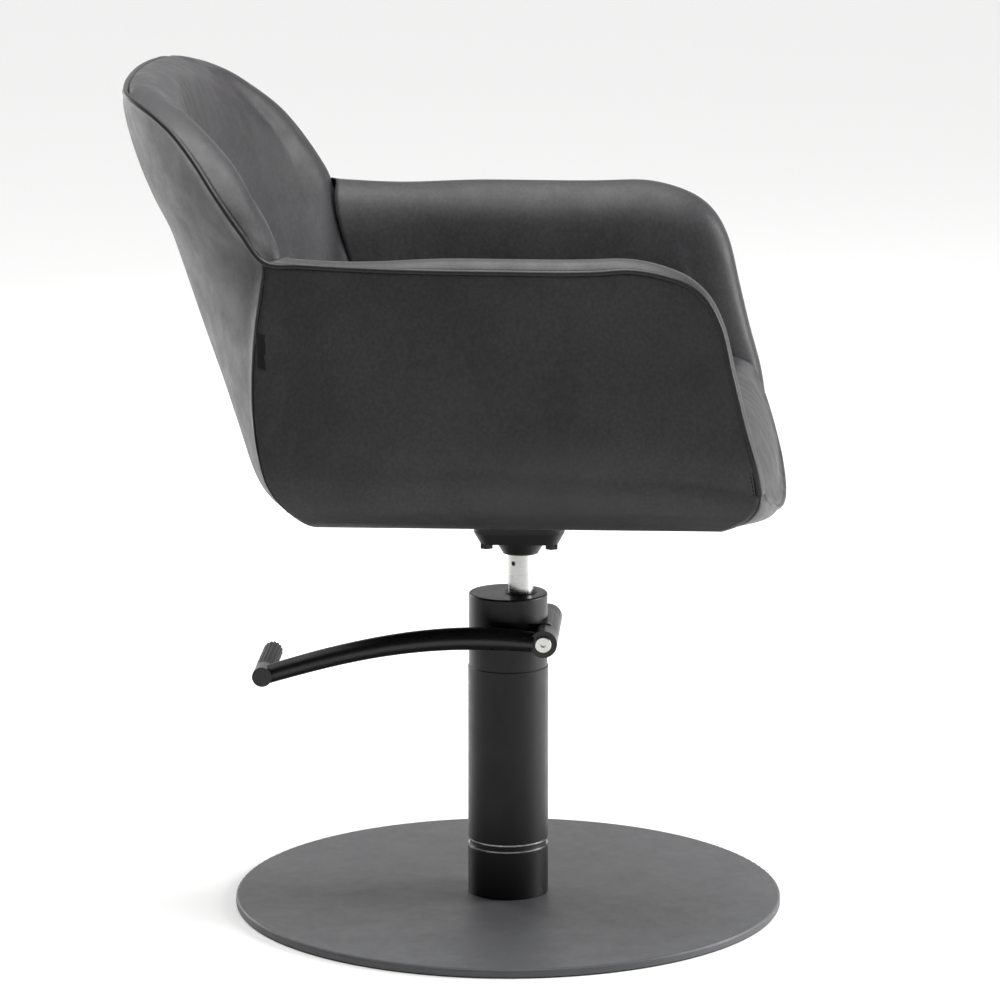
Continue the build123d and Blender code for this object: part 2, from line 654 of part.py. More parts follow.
BOLT_HEAD = 5.5
NUT_TOP = FLANGE_TOP + BRACKET_THICK + 6.5
with BuildPart() as hub_bolts:
    with BuildSketch(Plane.XY.offset(FLANGE_BOTTOM - BOLT_HEAD)):
        with Locations((0, RAM_Y)):
            with GridLocations(2 * HUB_BOLT_X, 2 * HUB_BOLT_Y, 2, 2):
                RegularPolygon(7.2, 6)
    extrude(amount=BOLT_HEAD)
    with BuildSketch(Plane.XY.offset(FLANGE_BOTTOM)):
        with Locations((0, RAM_Y)):
            with GridLocations(2 * HUB_BOLT_X, 2 * HUB_BOLT_Y, 2, 2):
                Circle(HUB_BOLT_RADIUS)
    extrude(amount=NUT_TOP + 3 - FLANGE_BOTTOM)
hub_bolts.part.label = "hub_bolts"
export_step(hub_bolts.part, "parts/hub_bolts.step")

with BuildPart() as hub_nuts:
    with BuildSketch(Plane.XY.offset(FLANGE_TOP + BRACKET_THICK)):
        with Locations((0, RAM_Y)):
            with GridLocations(2 * HUB_BOLT_X, 2 * HUB_BOLT_Y, 2, 2):
                RegularPolygon(7.2, 6)
                Circle(HUB_BOLT_RADIUS, mode=Mode.SUBTRACT)
    extrude(amount=NUT_TOP - FLANGE_TOP - BRACKET_THICK)
hub_nuts.part.label = "hub_nuts"
export_step(hub_nuts.part, "parts/hub_nuts.step")

with BuildPart() as bracket_bolts:
    with BuildSketch(Plane.XY.offset(BOARD_BOTTOM - BRACKET_THICK - BOLT_HEAD)):
        with Locations((0, RAM_Y)):
            with GridLocations(2 * BRACKET_BOLT_X, 2 * BRACKET_BOLT_Y, 2, 2):
                RegularPolygon(7.2, 6)
    extrude(amount=BOLT_HEAD)
    with BuildSketch(Plane.XY.offset(BOARD_BOTTOM - BRACKET_THICK)):
        with Locations((0, RAM_Y)):
            with GridLocations(2 * BRACKET_BOLT_X, 2 * BRACKET_BOLT_Y, 2, 2):
                Circle(HUB_BOLT_RADIUS)
    extrude(amount=BRACKET_THICK + BOARD_THICK - 1)
bracket_bolts.part.label = "bracket_bolts"
export_step(bracket_bolts.part, "parts/bracket_bolts.step")

with BuildPart() as tee_nuts:
    with BuildSketch(Plane.XY.offset(BOARD_BOTTOM)):
        with Locations((0, RAM_Y)):
            with GridLocations(2 * BRACKET_BOLT_X, 2 * BRACKET_BOLT_Y, 2, 2):
                Circle(TEE_NUT_RADIUS)
                Circle(HUB_BOLT_RADIUS, mode=Mode.SUBTRACT)
    extrude(amount=BOARD_THICK)
tee_nuts.part.label = "tee_nuts"
export_step(tee_nuts.part, "parts/tee_nuts.step")

# ---------------------------------------------------------------- tub frame
with BuildPart() as seat_board:
    with BuildSketch(Plane.XY.offset(BOARD_BOTTOM)):
        with Locations((0, (BOARD_FRONT + BOARD_REAR) / 2)):
            RectangleRounded(2 * BOARD_HALF, BOARD_REAR - BOARD_FRONT, 80)
        with Locations((0, RAM_Y)):
            with GridLocations(2 * BRACKET_BOLT_X, 2 * BRACKET_BOLT_Y, 2, 2):
                Circle(TEE_NUT_RADIUS, mode=Mode.SUBTRACT)
        with GridLocations(300, 220, 2, 2):
            Circle(12, mode=Mode.SUBTRACT)
    extrude(amount=BOARD_THICK)
    chamfer(seat_board.faces().sort_by(Axis.Z)[0].outer_wire().edges(), 6)
seat_board.part.label = "seat_board"
export_step(seat_board.part, "parts/seat_board.step")

COVER_THICK = 1.2
with BuildPart() as under_cover:
    with BuildSketch(Plane.XY.offset(BOARD_BOTTOM - COVER_THICK)):
        with Locations((0, (BOARD_FRONT + BOARD_REAR) / 2)):
            RectangleRounded(2 * BOARD_HALF - 14, BOARD_REAR - BOARD_FRONT - 14, 73)
        with Locations((0, RAM_Y)):
            RectangleRounded(191, 151, 12, mode=Mode.SUBTRACT)
    extrude(amount=COVER_THICK)
under_cover.part.label = "under_cover"
export_step(under_cover.part, "parts/under_cover.step")

# Whole back, used to trim the parts that meet it.
with BuildPart() as back_envelope:
    loft(back_sections(0, BACK_TOTAL), ruled=True)

SHELL_REAR = BACK_PANEL + 2
SHELL_FRONT = SHELL_REAR + BACK_SHELL
with BuildPart() as back_shell:
    loft(back_sections(SHELL_REAR, SHELL_FRONT, inset_levels(26, 20)), ruled=True)
back_shell.part.label = "back_shell"
export_step(back_shell.part, "parts/back_shell.step")

# ---------------------------------------------------------------- rim piping
RIM_X = ARM_OUT + 0.5
with BuildPart() as rim_piping:
    with BuildLine():
        rim = FilletPolyline(
            (-RIM_X + 12, -266, 508),
            (-RIM_X, -222, ARM_TOP + 1),
            (-RIM_X, 224, ARM_TOP + 3),
            (-238, 326, 862),
            (-168, 386, BACK_TOP + 2),
            (168, 386, BACK_TOP + 2),
            (238, 326, 862),
            (RIM_X, 224, ARM_TOP + 3),
            (RIM_X, -222, ARM_TOP + 1),
            (RIM_X - 12, -266, 508),
            radius=[85, 14, 120, 30, 30, 120, 14, 85],
        )
    with BuildSketch(Plane(origin=rim @ 0, z_dir=rim % 0)):
        Circle(PIPING_RADIUS)
    sweep()
rim_piping.part.label = "rim_piping"
export_step(rim_piping.part, "parts/rim_piping.step")

with BuildPart() as front_piping:
    with BuildLine():
        lip = FilletPolyline(
            (-272, -268, 506),
            (-215, -290, 456),
            (215, -290, 456),
            (272, -268, 506),
            radius=[60, 60],
        )
    with BuildSketch(Plane(origin=lip @ 0, z_dir=lip % 0)):
        Circle(PIPING_RADIUS)
    sweep()
front_piping.part.label = "front_piping"
export_step(front_piping.part, "parts/front_piping.step")

# ---------------------------------------------------------------- upholstery
with BuildPart() as outer_back:
    loft(back_sections(0, BACK_PANEL), ruled=True)
    add(rim_piping.part, mode=Mode.SUBTRACT)
outer_back.part.label = "outer_back"
export_step(outer_back.part, "parts/outer_back.step")

outer_arms = []
for side, side_name in ((-1, "right"), (1, "left")):
    with BuildPart() as arm_frame:
        extrude(arm_side(side * ARM_FRAME_IN, inset=12), amount=side * ARM_FRAME)
        add(back_envelope.part, mode=Mode.SUBTRACT)
    arm_frame.part.label = f"arm_frame_{side_name}"
    export_step(arm_frame.part, f"parts/arm_frame_{side_name}.step")

    with BuildPart() as outer_arm:
        extrude(arm_side(side * ARM_FRAME_OUT), amount=side * ARM_PANEL)
        add(outer_back.part, mode=Mode.SUBTRACT)
        add(rim_piping.part, mode=Mode.SUBTRACT)
    outer_arm.part.label = f"outer_arm_{side_name}"
    export_step(outer_arm.part, f"parts/outer_arm_{side_name}.step")
    outer_arms.append(outer_arm.part)

    with BuildPart() as inner_arm:
        extrude(arm_side(side * ARM_IN, crown=CROWN), amount=side * (ARM_PAD + ARM_FRAME))
        add(back_envelope.part, mode=Mode.SUBTRACT)
        add(arm_frame.part, mode=Mode.SUBTRACT)
        add(seat_board.part, mode=Mode.SUBTRACT)
        add(front_piping.part, mode=Mode.SUBTRACT)
    inner_arm.part.label = f"inner_arm_{side_name}"
    export_step(inner_arm.part, f"parts/inner_arm_{side_name}.step")

crown_level = (BACK_TOP + CROWN, 158.0, 380.0, 399.0)
with BuildPart() as inner_back:
    loft(back_sections(BACK_PANEL, BACK_TOTAL, BACK_LEVELS + (crown_level,)), ruled=True)
    for outer_panel in outer_arms:
        add(outer_panel, mode=Mode.SUBTRACT)
    add(rim_piping.part, mode=Mode.SUBTRACT)
    add(back_shell.part, mode=Mode.SUBTRACT)
inner_back.part.label = "inner_back"
export_step(inner_back.part, "parts/inner_back.step")

with BuildPart() as seat_cushion:
    with BuildSketch(Plane.YZ.offset(-ARM_IN)):
        with BuildLine():
            under = Polyline((210, BOARD_TOP), (-244, BOARD_TOP), (-244, 456), (-278, 456))
            nose = ThreePointArc(under @ 1, (-291, 498), (-262, 540))
            top_front = ThreePointArc(nose @ 1, (-244, 550), (-215, 556))
            crown_line = ThreePointArc(top_front @ 1, (0, 548), (210, 522))
            Line(crown_line @ 1, under @ 0)
        make_face()
    extrude(amount=2 * ARM_IN)
    add(back_envelope.part, mode=Mode.SUBTRACT)
    add(front_piping.part, mode=Mode.SUBTRACT)
seat_cushion.part.label = "seat_cushion"
export_step(seat_cushion.part, "parts/seat_cushion.step")

with BuildPart() as seam_tag:
    with Locations((-ARM_OUT - 0.9, 227, 644)):
        Box(1.2, 9, 37)
seam_tag.part.label = "seam_tag"
export_step(seam_tag.part, "parts/seam_tag.step")
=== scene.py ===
import math
import bpy
import numpy as np
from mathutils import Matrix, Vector


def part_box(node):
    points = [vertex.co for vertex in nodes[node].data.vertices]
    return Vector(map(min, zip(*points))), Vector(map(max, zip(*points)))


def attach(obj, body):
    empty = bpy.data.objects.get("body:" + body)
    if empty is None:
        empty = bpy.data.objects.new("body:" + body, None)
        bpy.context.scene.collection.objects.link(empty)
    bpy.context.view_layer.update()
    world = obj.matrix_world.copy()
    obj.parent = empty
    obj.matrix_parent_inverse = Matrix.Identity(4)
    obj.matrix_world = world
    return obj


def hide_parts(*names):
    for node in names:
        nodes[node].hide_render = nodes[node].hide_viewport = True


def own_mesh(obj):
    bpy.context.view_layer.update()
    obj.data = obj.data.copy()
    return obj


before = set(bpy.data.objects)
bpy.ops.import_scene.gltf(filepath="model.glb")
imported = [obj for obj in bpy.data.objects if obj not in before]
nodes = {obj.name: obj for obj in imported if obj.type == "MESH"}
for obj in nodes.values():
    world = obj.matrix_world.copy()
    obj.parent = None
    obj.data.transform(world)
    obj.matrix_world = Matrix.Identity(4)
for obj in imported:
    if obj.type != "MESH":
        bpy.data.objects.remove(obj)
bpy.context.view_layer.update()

# Lengths below are in millimetres, in the CAD frame, and become metres in new_piece().
board_low, board_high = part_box("seat_board")
arm_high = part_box("outer_arm_left")[1]
BOARD_BOTTOM = board_low.z * 1000
HALF = arm_high.x * 1000
ARM_TOP = arm_high.z * 1000
UNDER_X = board_high.x * 1000 - 4
UNDER_Z = BOARD_BOTTOM - 0.6
COVER_THICK = 1.4
WELT_RADIUS = 3.0
LIP_RADIUS = 2.6
SEAM_RADIUS = 0.9
STITCH_PITCH = 5.0
STITCH_LENGTH = 3.6


# ---------------------------------------------------------------- curves and surfaces
def through(points, count):
    """A smooth curve through points, as count samples."""
    p = np.array(points, float)
    gaps = np.linalg.norm(np.diff(p, axis=0), axis=1)
    knots = np.concatenate([[0.0], np.cumsum(np.maximum(gaps, 1e-6))])
    step = np.diff(knots)
    slope = np.diff(p, axis=0) / step[:, None]
    tangent = np.empty_like(p)
    inner = step[1:, None] * slope[:-1] + step[:-1, None] * slope[1:]
    tangent[1:-1] = inner / (step[:-1] + step[1:])[:, None]
    tangent[0] = 1.5 * slope[0] - 0.5 * tangent[1]
    tangent[-1] = 1.5 * slope[-1] - 0.5 * tangent[-2]
    t = np.linspace(0, knots[-1], count)
    i = np.clip(np.searchsorted(knots, t, side="right") - 1, 0, len(step) - 1)
    s = ((t - knots[i]) / step[i])[:, None]
    h = step[i][:, None]
    return (
        (2 * s**3 - 3 * s**2 + 1) * p[i]
        + (s**3 - 2 * s**2 + s) * h * tangent[i]
        + (3 * s**2 - 2 * s**3) * p[i + 1]
        + (s**3 - s**2) * h * tangent[i + 1]
    )


def even(points, count):
    """A smooth curve through points, as count samples an equal distance apart."""
    fine = through(points, 40 * len(points))
    run = np.concatenate([[0.0], np.cumsum(np.linalg.norm(np.diff(fine, axis=0), axis=1))])
    want = np.linspace(0, run[-1], count)
    return np.stack([np.interp(want, run, fine[:, k]) for k in range(fine.shape[1])], axis=1)


def refine(rows, n_rows, n_cols):
    """A smooth surface through a grid of points."""
    g = np.array(rows, float)
    g = through(g.reshape(g.shape[0], -1), n_rows).reshape(n_rows, g.shape[1], 3)
    g = g.transpose(1, 0, 2)
    g = through(g.reshape(g.shape[0], -1), n_cols).reshape(n_cols, n_rows, 3)
    return g.transpose(1, 0, 2)


def relax(grid, times):
    """Softens a grid, its four edges held."""
    g = grid.copy()
    for _ in range(times):
        n = g.copy()
        n[1:-1, 1:-1] = 0.25 * (g[:-2, 1:-1] + g[2:, 1:-1] + g[1:-1, :-2] + g[1:-1, 2:])
        g = n
    return g


def ease(x):
    """Rises smoothly from 0 to 1 as x does."""
    x = np.clip(x, 0, 1)
    return x * x * (3 - 2 * x)


def mirrored(points):
    """Points on the +X side, joined to their mirror image, which comes first."""
    p = np.array(points, float)
    return np.concatenate([p * (-1, 1, 1), p[::-1][1:]])


def new_piece(name, verts, faces, material, body="seat"):
    """A smooth-shaded mesh that rides on a body, from points in millimetres."""
    mesh = bpy.data.meshes.new(name)
    mesh.from_pydata([tuple(v) for v in np.asarray(verts) / 1000.0], [], faces)
    mesh.validate()
    mesh.polygons.foreach_set("use_smooth", [True] * len(mesh.polygons))
    mesh.materials.append(material)
    piece = bpy.data.objects.new(name, mesh)
    bpy.context.scene.collection.objects.link(piece)
    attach(piece, body)
    return piece


def grid_faces(rows, cols, flip=False):
    """The four-sided faces of a grid of points."""
    faces = []
    for r in range(rows - 1):
        for c in range(cols - 1):
            a = r * cols + c
            quad = (a, a + 1, a + cols + 1, a + cols)
            faces.append(quad[::-1] if flip else quad)
    return faces


def panel(name, grid, material, flip=False):
    """An upholstery panel: a smooth grid with the thickness of its cover."""
    rows, cols = grid.shape[:2]
    piece = new_piece(
        name, grid.reshape(-1, 3), grid_faces(rows, cols, flip), material
    )
    shell = piece.modifiers.new("cover", "SOLIDIFY")
    shell.thickness = COVER_THICK / 1000
    shell.offset = -1
    return piece


def tube(name, path, radius, material, sides):
    """A round cord that follows path."""
    p = np.asarray(path, float)
    t = np.gradient(p, axis=0)
    t /= np.linalg.norm(t, axis=1)[:, None]
    up = np.tile(np.array([1.0, 0.0, 0.0]), (len(p), 1))
    side = np.cross(t, up)
    short = np.linalg.norm(side, axis=1) < 0.3
    side[short] = np.cross(t[short], np.array([0.0, 0.0, 1.0]))
    side /= np.linalg.norm(side, axis=1)[:, None]
    for k in range(1, len(p)):
        keep = side[k - 1] - t[k] * np.dot(side[k - 1], t[k])
        side[k] = keep / np.linalg.norm(keep)
    over = np.cross(t, side)
    turn = np.linspace(0, 2 * math.pi, sides, endpoint=False)
    radius = np.broadcast_to(np.asarray(radius, float), (len(p),))[:, None, None]
    ring = side[:, None] * np.cos(turn)[None, :, None]
    ring = ring + over[:, None] * np.sin(turn)[None, :, None]
    verts = (p[:, None] + radius * ring).reshape(-1, 3)
    faces = []
    for k in range(len(p) - 1):
        for s in range(sides):
            a, b = k * sides + s, k * sides + (s + 1) % sides
            faces.append((a, b, b + sides, a + sides))
    faces.append(tuple(range(sides))[::-1])
    faces.append(tuple((len(p) - 1) * sides + s for s in range(sides)))
    return new_piece(name, verts, faces, material)


def stitches(name, path, normals, width):
    """A row of thread stitches along path, each a small rounded bar lying on the leather."""
    pitch, length, lift = STITCH_PITCH, STITCH_LENGTH, 0.25
    p = np.asarray(path, float)
    n = np.asarray(normals, float)
    run = np.concatenate([[0.0], np.cumsum(np.linalg.norm(np.diff(p, axis=0), axis=1))])
    count = int(run[-1] / pitch)
    verts, faces = [], []
    for k in range(count):
        places = np.array([-0.5, -0.38, 0.38, 0.5]) * length + (k + 0.5) * pitch
        spine = np.stack([np.interp(places, run, p[:, a]) for a in range(3)], axis=1)
        up = np.array([np.interp((k + 0.5) * pitch, run, n[:, a]) for a in range(3)])
        up /= np.linalg.norm(up)
        along = spine[-1] - spine[0]
        along /= np.linalg.norm(along)
        across = np.cross(along, up)
        start = len(verts)
        for q, (fat, drop) in enumerate(((0.45, -0.35), (1, 0), (1, 0), (0.45, -0.35))):
            for s in range(6):
                angle = s * math.pi / 3
                offset = across * math.cos(angle) + up * (0.6 * math.sin(angle))
                verts.append(spine[q] + offset * fat * width / 2 + up * (lift + drop * width))
        for q in range(3):
            for s in range(6):
                a, b = start + q * 6 + s, start + q * 6 + (s + 1) % 6
                faces.append((a, b, b + 6, a + 6))
        faces.append(tuple(start + s for s in range(6))[::-1])
        faces.append(tuple(start + 18 + s for s in range(6)))
    return new_piece(name, verts, faces, THREAD_AND_GROOVE_SHADE)


# ---------------------------------------------------------------- materials
def material(name):
    """A new material, its node tree, its shader, and the object coordinates for its textures."""
    m = bpy.data.materials.new(name)
    m.use_nodes = True
    tree = m.node_tree
    shader = tree.nodes["Principled BSDF"]
    place = tree.nodes.new("ShaderNodeTexCoord")
    return m, tree, shader, place.outputs["Object"]


def noise(tree, where, scale, detail=2.0, rough=0.5, stretch=None):
    """A noise texture's value, stretched along the axes if told."""
    node = tree.nodes.new("ShaderNodeTexNoise")
    node.inputs["Scale"].default_value = scale
    node.inputs["Detail"].default_value = detail
    node.inputs["Roughness"].default_value = rough
    if stretch:
        turn = tree.nodes.new("ShaderNodeMapping")
        turn.inputs["Scale"].default_value = stretch
        tree.links.new(where, turn.inputs["Vector"])
        where = turn.outputs["Vector"]
    tree.links.new(where, node.inputs["Vector"])
    return node.outputs["Fac"]


def cells(tree, where, scale):
    """Distance to the nearest of scattered points, as leather grain is laid out."""
    node = tree.nodes.new("ShaderNodeTexVoronoi")
    node.inputs["Scale"].default_value = scale
    tree.links.new(where, node.inputs["Vector"])
    return node.outputs["Distance"]


def ramp(tree, fac, stops):
    """A colour ramp over fac, from stops of (place, colour)."""
    node = tree.nodes.new("ShaderNodeValToRGB")
    elements = node.color_ramp.elements
    while len(elements) < len(stops):
        elements.new(0.5)
    for element, (place, colour) in zip(elements, stops):
        element.position = place
        element.color = (*colour, 1.0) if len(colour) == 3 else colour
    tree.links.new(fac, node.inputs["Fac"])
    return node.outputs["Color"]


def spread(tree, fac, low, high, from_low=0.3, from_high=0.7):
    """fac, moved from one range to another."""
    node = tree.nodes.new("ShaderNodeMapRange")
    node.inputs["From Min"].default_value = from_low
    node.inputs["From Max"].default_value = from_high
    node.inputs["To Min"].default_value = low
    node.inputs["To Max"].default_value = high
    tree.links.new(fac, node.inputs["Value"])
    return node.outputs["Result"]


def mix(tree, a, b, fac=0.5, kind="MIX"):
    """Two colours, mixed; each is a socket or three numbers."""
    node = tree.nodes.new("ShaderNodeMix")
    node.data_type = "RGBA"
    node.blend_type = kind
    if isinstance(fac, float):
        node.inputs["Factor"].default_value = fac
    else:
        tree.links.new(fac, node.inputs["Factor"])
    colour_a, colour_b, colour_out = node.inputs[6], node.inputs[7], node.outputs[2]
    for value, socket in ((a, colour_a), (b, colour_b)):
        if isinstance(value, tuple):
            socket.default_value = (*value, 1.0)
        else:
            tree.links.new(value, socket)
    return colour_out


def bump(tree, shader, layers):
    """Bump layers, each (height, strength, distance in metres), one over the other."""
    last = None
    for height, strength, distance in layers:
        node = tree.nodes.new("ShaderNodeBump")
        node.inputs["Strength"].default_value = strength
        node.inputs["Distance"].default_value = distance
        tree.links.new(height, node.inputs["Height"])
        if last:
            tree.links.new(last, node.inputs["Normal"])
        last = node.outputs["Normal"]
    tree.links.new(last, shader.inputs["Normal"])


def worn_edges(tree, low=0.5, high=0.56):
    """1 on convex edges and 0 elsewhere."""
    node = tree.nodes.new("ShaderNodeNewGeometry")
    return spread(tree, node.outputs["Pointiness"], 0.0, 1.0, low, high)


def leather(name, tone, rough=0.46):
    """Matt smooth-grain leather-look vinyl, with clouding, grain and paler worn patches."""
    m, tree, shader, where = material(name)
    cloud = noise(tree, where, 9.0, 4.0, 0.6)
    dark = tuple(0.80 * c for c in tone)
    light = tuple(1.22 * c for c in tone)
    base = ramp(tree, cloud, [(0.32, dark), (0.68, light)])
    speck = noise(tree, where, 260.0, 3.0, 0.6)
    flecks = ramp(tree, speck, [(0.38, (0.80, 0.80, 0.80)), (0.66, (1.12, 1.12, 1.12))])
    base = mix(tree, base, flecks, 1.0, "MULTIPLY")
    worn = tuple(1.25 * c for c in tone)
    rubbed = spread(tree, noise(tree, where, 3.0, 3.0, 0.5), 0.0, 1.0, 0.56, 0.74)
    base = mix(tree, base, worn, rubbed)
    tree.links.new(base, shader.inputs["Base Color"])
    mottled = noise(tree, where, 34.0, 5.0, 0.65)
    tree.links.new(spread(tree, mottled, rough - 0.06, rough + 0.08), shader.inputs["Roughness"])
    shader.inputs["Specular IOR Level"].default_value = 0.22
    grain = cells(tree, where, 1150.0)
    pores = noise(tree, where, 2100.0, 2.0, 0.5)
    soft = noise(tree, where, 55.0, 3.0, 0.55)
    bump(
        tree,
        shader,
        [(soft, 0.10, 0.0022), (grain, 0.16, 0.0003), (pores, 0.10, 0.0002)],
    )
    return m


def metal_paint(
    name, tone, rough, texture=1500.0, depth=0.00012, strength=0.25, chip=1.8, gloss=0.22
):
    """Painted metal: fine orange peel, faint clouding, dust and paler rubbed edges."""
    m, tree, shader, where = material(name)
    cloud = noise(tree, where, 14.0, 4.0, 0.6)
    dark, light = tuple(0.88 * c for c in tone), tuple(1.1 * c for c in tone)
    base = ramp(tree, cloud, [(0.3, dark), (0.7, light)])
    base = mix(tree, base, tuple(chip * c for c in tone), worn_edges(tree, 0.53, 0.62))
    tree.links.new(base, shader.inputs["Base Color"])
    scuff = noise(tree, where, 45.0, 6.0, 0.7)
    tree.links.new(spread(tree, scuff, rough - 0.05, rough + 0.06), shader.inputs["Roughness"])
    shader.inputs["Specular IOR Level"].default_value = gloss
    peel = noise(tree, where, texture, 2.0, 0.55)
    bump(tree, shader, [(peel, strength, depth)])
    return m


def bare_metal(name, tone, rough, stretch=(1.0, 1.0, 1.0), aniso=0.0):
    """Ground or machined metal, with fine lines across its turning direction and light stains."""
    m, tree, shader, where = material(name)
    shader.inputs["Metallic"].default_value = 1.0
    shader.inputs["Anisotropic"].default_value = aniso
    cloud = noise(tree, where, 60.0, 4.0, 0.6)
    base = ramp(tree, cloud, [(0.3, tuple(0.86 * c for c in tone)), (0.7, tone)])
    tree.links.new(base, shader.inputs["Base Color"])
    lines = noise(tree, where, 900.0, 3.0, 0.6, stretch)
    tree.links.new(spread(tree, lines, rough - 0.07, rough + 0.09), shader.inputs["Roughness"])
    bump(tree, shader, [(lines, 0.12, 0.00008)])
    return m


def rubber(name, tone, rough=0.62, gloss=0.35):
    """Matt rubber, clouded and dusty, paler on its rubbed edges."""
    m, tree, shader, where = material(name)
    cloud = noise(tree, where, 40.0, 4.0, 0.65)
    base = ramp(tree, cloud, [(0.3, tone), (0.72, tuple(1.7 * c for c in tone))])
    base = mix(tree, base, tuple(2.6 * c for c in tone), worn_edges(tree, 0.52, 0.6))
    tree.links.new(base, shader.inputs["Base Color"])
    dust = noise(tree, where, 300.0, 3.0, 0.6)
    tree.links.new(spread(tree, dust, rough - 0.06, rough + 0.1), shader.inputs["Roughness"])
    bump(tree, shader, [(dust, 0.2, 0.0002)])
    shader.inputs["Specular IOR Level"].default_value = gloss
    return m


def woven(name, tone, pitch):
    """Plain-woven tape or lining: two crossed sets of threads."""
    m, tree, shader, where = material(name)
    waves = []
    for direction in ("Y", "Z"):
        node = tree.nodes.new("ShaderNodeTexWave")
        node.wave_type = "BANDS"
        node.bands_direction = direction
        node.inputs["Scale"].default_value = 0.159 / pitch * 1000
        node.inputs["Distortion"].default_value = 0.4
        tree.links.new(where, node.inputs["Vector"])
        waves.append(node.outputs["Fac"])
    weave = mix(tree, waves[0], waves[1], 0.5)
    base = ramp(tree, weave, [(0.2, tuple(0.5 * c for c in tone)), (0.8, tuple(1.5 * c for c in tone))])
    tree.links.new(base, shader.inputs["Base Color"])
    shader.inputs["Roughness"].default_value = 0.8
    shader.inputs["Sheen Weight"].default_value = 0.25
    bump(tree, shader, [(weave, 0.4, 0.0002)])
    shader.inputs["Specular IOR Level"].default_value = 0.06
    return m


def plywood(name):
    """Birch plywood with its grain along X."""
    m, tree, shader, where = material(name)
    grain = noise(tree, where, 26.0, 6.0, 0.6, (1.0, 9.0, 9.0))
    base = ramp(
        tree, grain, [(0.25, (0.36, 0.22, 0.11)), (0.5, (0.52, 0.36, 0.2)), (0.75, (0.6, 0.45, 0.28))]
    )
    tree.links.new(base, shader.inputs["Base Color"])
    shader.inputs["Roughness"].default_value = 0.6
    bump(tree, shader, [(grain, 0.2, 0.0004)])
    return m


LEATHER = leather("leather_charcoal", (0.0222, 0.0210, 0.0225))
WELT = leather("leather_welt", (0.013, 0.0125, 0.0135), 0.42)
# Black thread for the stitches and seams; its near-black colour also paints the shade in the arm's groove
# beside the welt.
THREAD_AND_GROOVE_SHADE = rubber("black_thread_and_groove_shade", (0.003, 0.003, 0.0034), 0.7, 0.03)
TAG = woven("tag_tape", (0.004, 0.004, 0.0045), 0.5)
LINING = woven("lining_cloth", (0.012, 0.012, 0.013), 0.9)
BASE_PAINT = metal_paint(
    "base_powder_coat", (0.066, 0.067, 0.070), 0.5, 1300.0, 0.0002, 0.5, 1.3, 0.4
)
PUMP_PAINT = metal_paint("pump_satin_black", (0.0052, 0.0052, 0.0058), 0.36)
LEVER_PAINT = metal_paint(
    "lever_black", (0.0065, 0.0065, 0.0072), 0.3, 700.0, 0.00015, 0.25, gloss=0.3
)
OXIDE = metal_paint("black_oxide", (0.007, 0.007, 0.0075), 0.42)
STEEL = bare_metal("ground_steel", (0.44, 0.44, 0.43), 0.22, (0.05, 0.05, 1.0), 0.3)
ZINC = bare_metal("zinc_steel", (0.6, 0.6, 0.58), 0.34)
IRON = bare_metal("machined_iron", (0.14, 0.14, 0.15), 0.45)
BRONZE = bare_metal("sintered_bronze", (0.5, 0.34, 0.16), 0.42)
EDGE_RUBBER = rubber("edge_rubber", (0.011, 0.011, 0.011))
SEAL = rubber("seal_rubber", (0.008, 0.008, 0.008), 0.5)
GRIP = rubber("grip_rubber", (0.014, 0.014, 0.0145), 0.6)
PLY = plywood("birch_plywood")

finishes = {
    BASE_PAINT: ["base_disc"],
    EDGE_RUBBER: ["rubber_edge"],
    PUMP_PAINT: ["lower_collar", "column_sleeve", "pump_cap"],
    OXIDE: [
        "foot_bolts", "groove_spacer", "axle_clip", "crank", "seat_hub", "seat_bracket",
        "hub_bolts", "hub_nuts", "bracket_bolts",
    ],
    IRON: ["pump_foot", "pump_block"],
    STEEL: [
        "trim_rings", "pump_cylinder", "check_balls", "lever_axle", "plunger", "ram_head",
        "thrust_ball", "piston_rod",
    ],
    ZINC: ["tie_rods", "axle_bolt", "plunger_spring", "tee_nuts"],
    BRONZE: ["valve_seat", "rod_bush", "axle_bushes"],
    LEVER_PAINT: ["lever_arm", "pedal_bar"],
    GRIP: ["pedal_grip"],
    SEAL: ["rod_wiper", "ram_seal"],
    PLY: ["seat_board", "back_shell", "arm_frame_left", "arm_frame_right"],
    LINING: ["under_cover"],
}
for finish, names in finishes.items():
    for node_name in names:
        slots = nodes[node_name].data.materials
        slots.clear()
        slots.append(finish)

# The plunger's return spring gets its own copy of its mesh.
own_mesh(nodes["plunger_spring"])

# ---------------------------------------------------------------- the tub's lines
# Arm rim, from the bottom of its front edge over the top to the rear corner.
ARM_RIM = [
    (HALF - 10, -264, 500),
    (HALF - 3, -261, 520),
    (HALF, -247, 571),
    (HALF, -234, 623),
    (HALF, -220, 676),
    (HALF, -208, 697),
    (HALF, -191, 711),
    (HALF, -165, 720),
    (HALF, -137, ARM_TOP + 0.5),
    (HALF, -100, ARM_TOP - 1.5),
    (HALF, 0, ARM_TOP - 2),
    (HALF, 110, ARM_TOP - 0.5),
    (HALF, 190, ARM_TOP + 3),
    (HALF - 0.5, 222, ARM_TOP + 5),
]
# Back rim, from that corner up the side and over the rounded top corner to the middle.
BACK_RIM = [
    (HALF - 0.5, 222, ARM_TOP + 5),
    (290, 248, 758),
    (278, 273, 791),
    (256, 298, 824),
    (233, 322, 849),
    (211, 344, 864),
    (190, 361, 872),
    (166, 374, 877),
    (120, 381, 880),
    (60, 385, 882),
    (0, 386, 883),
]
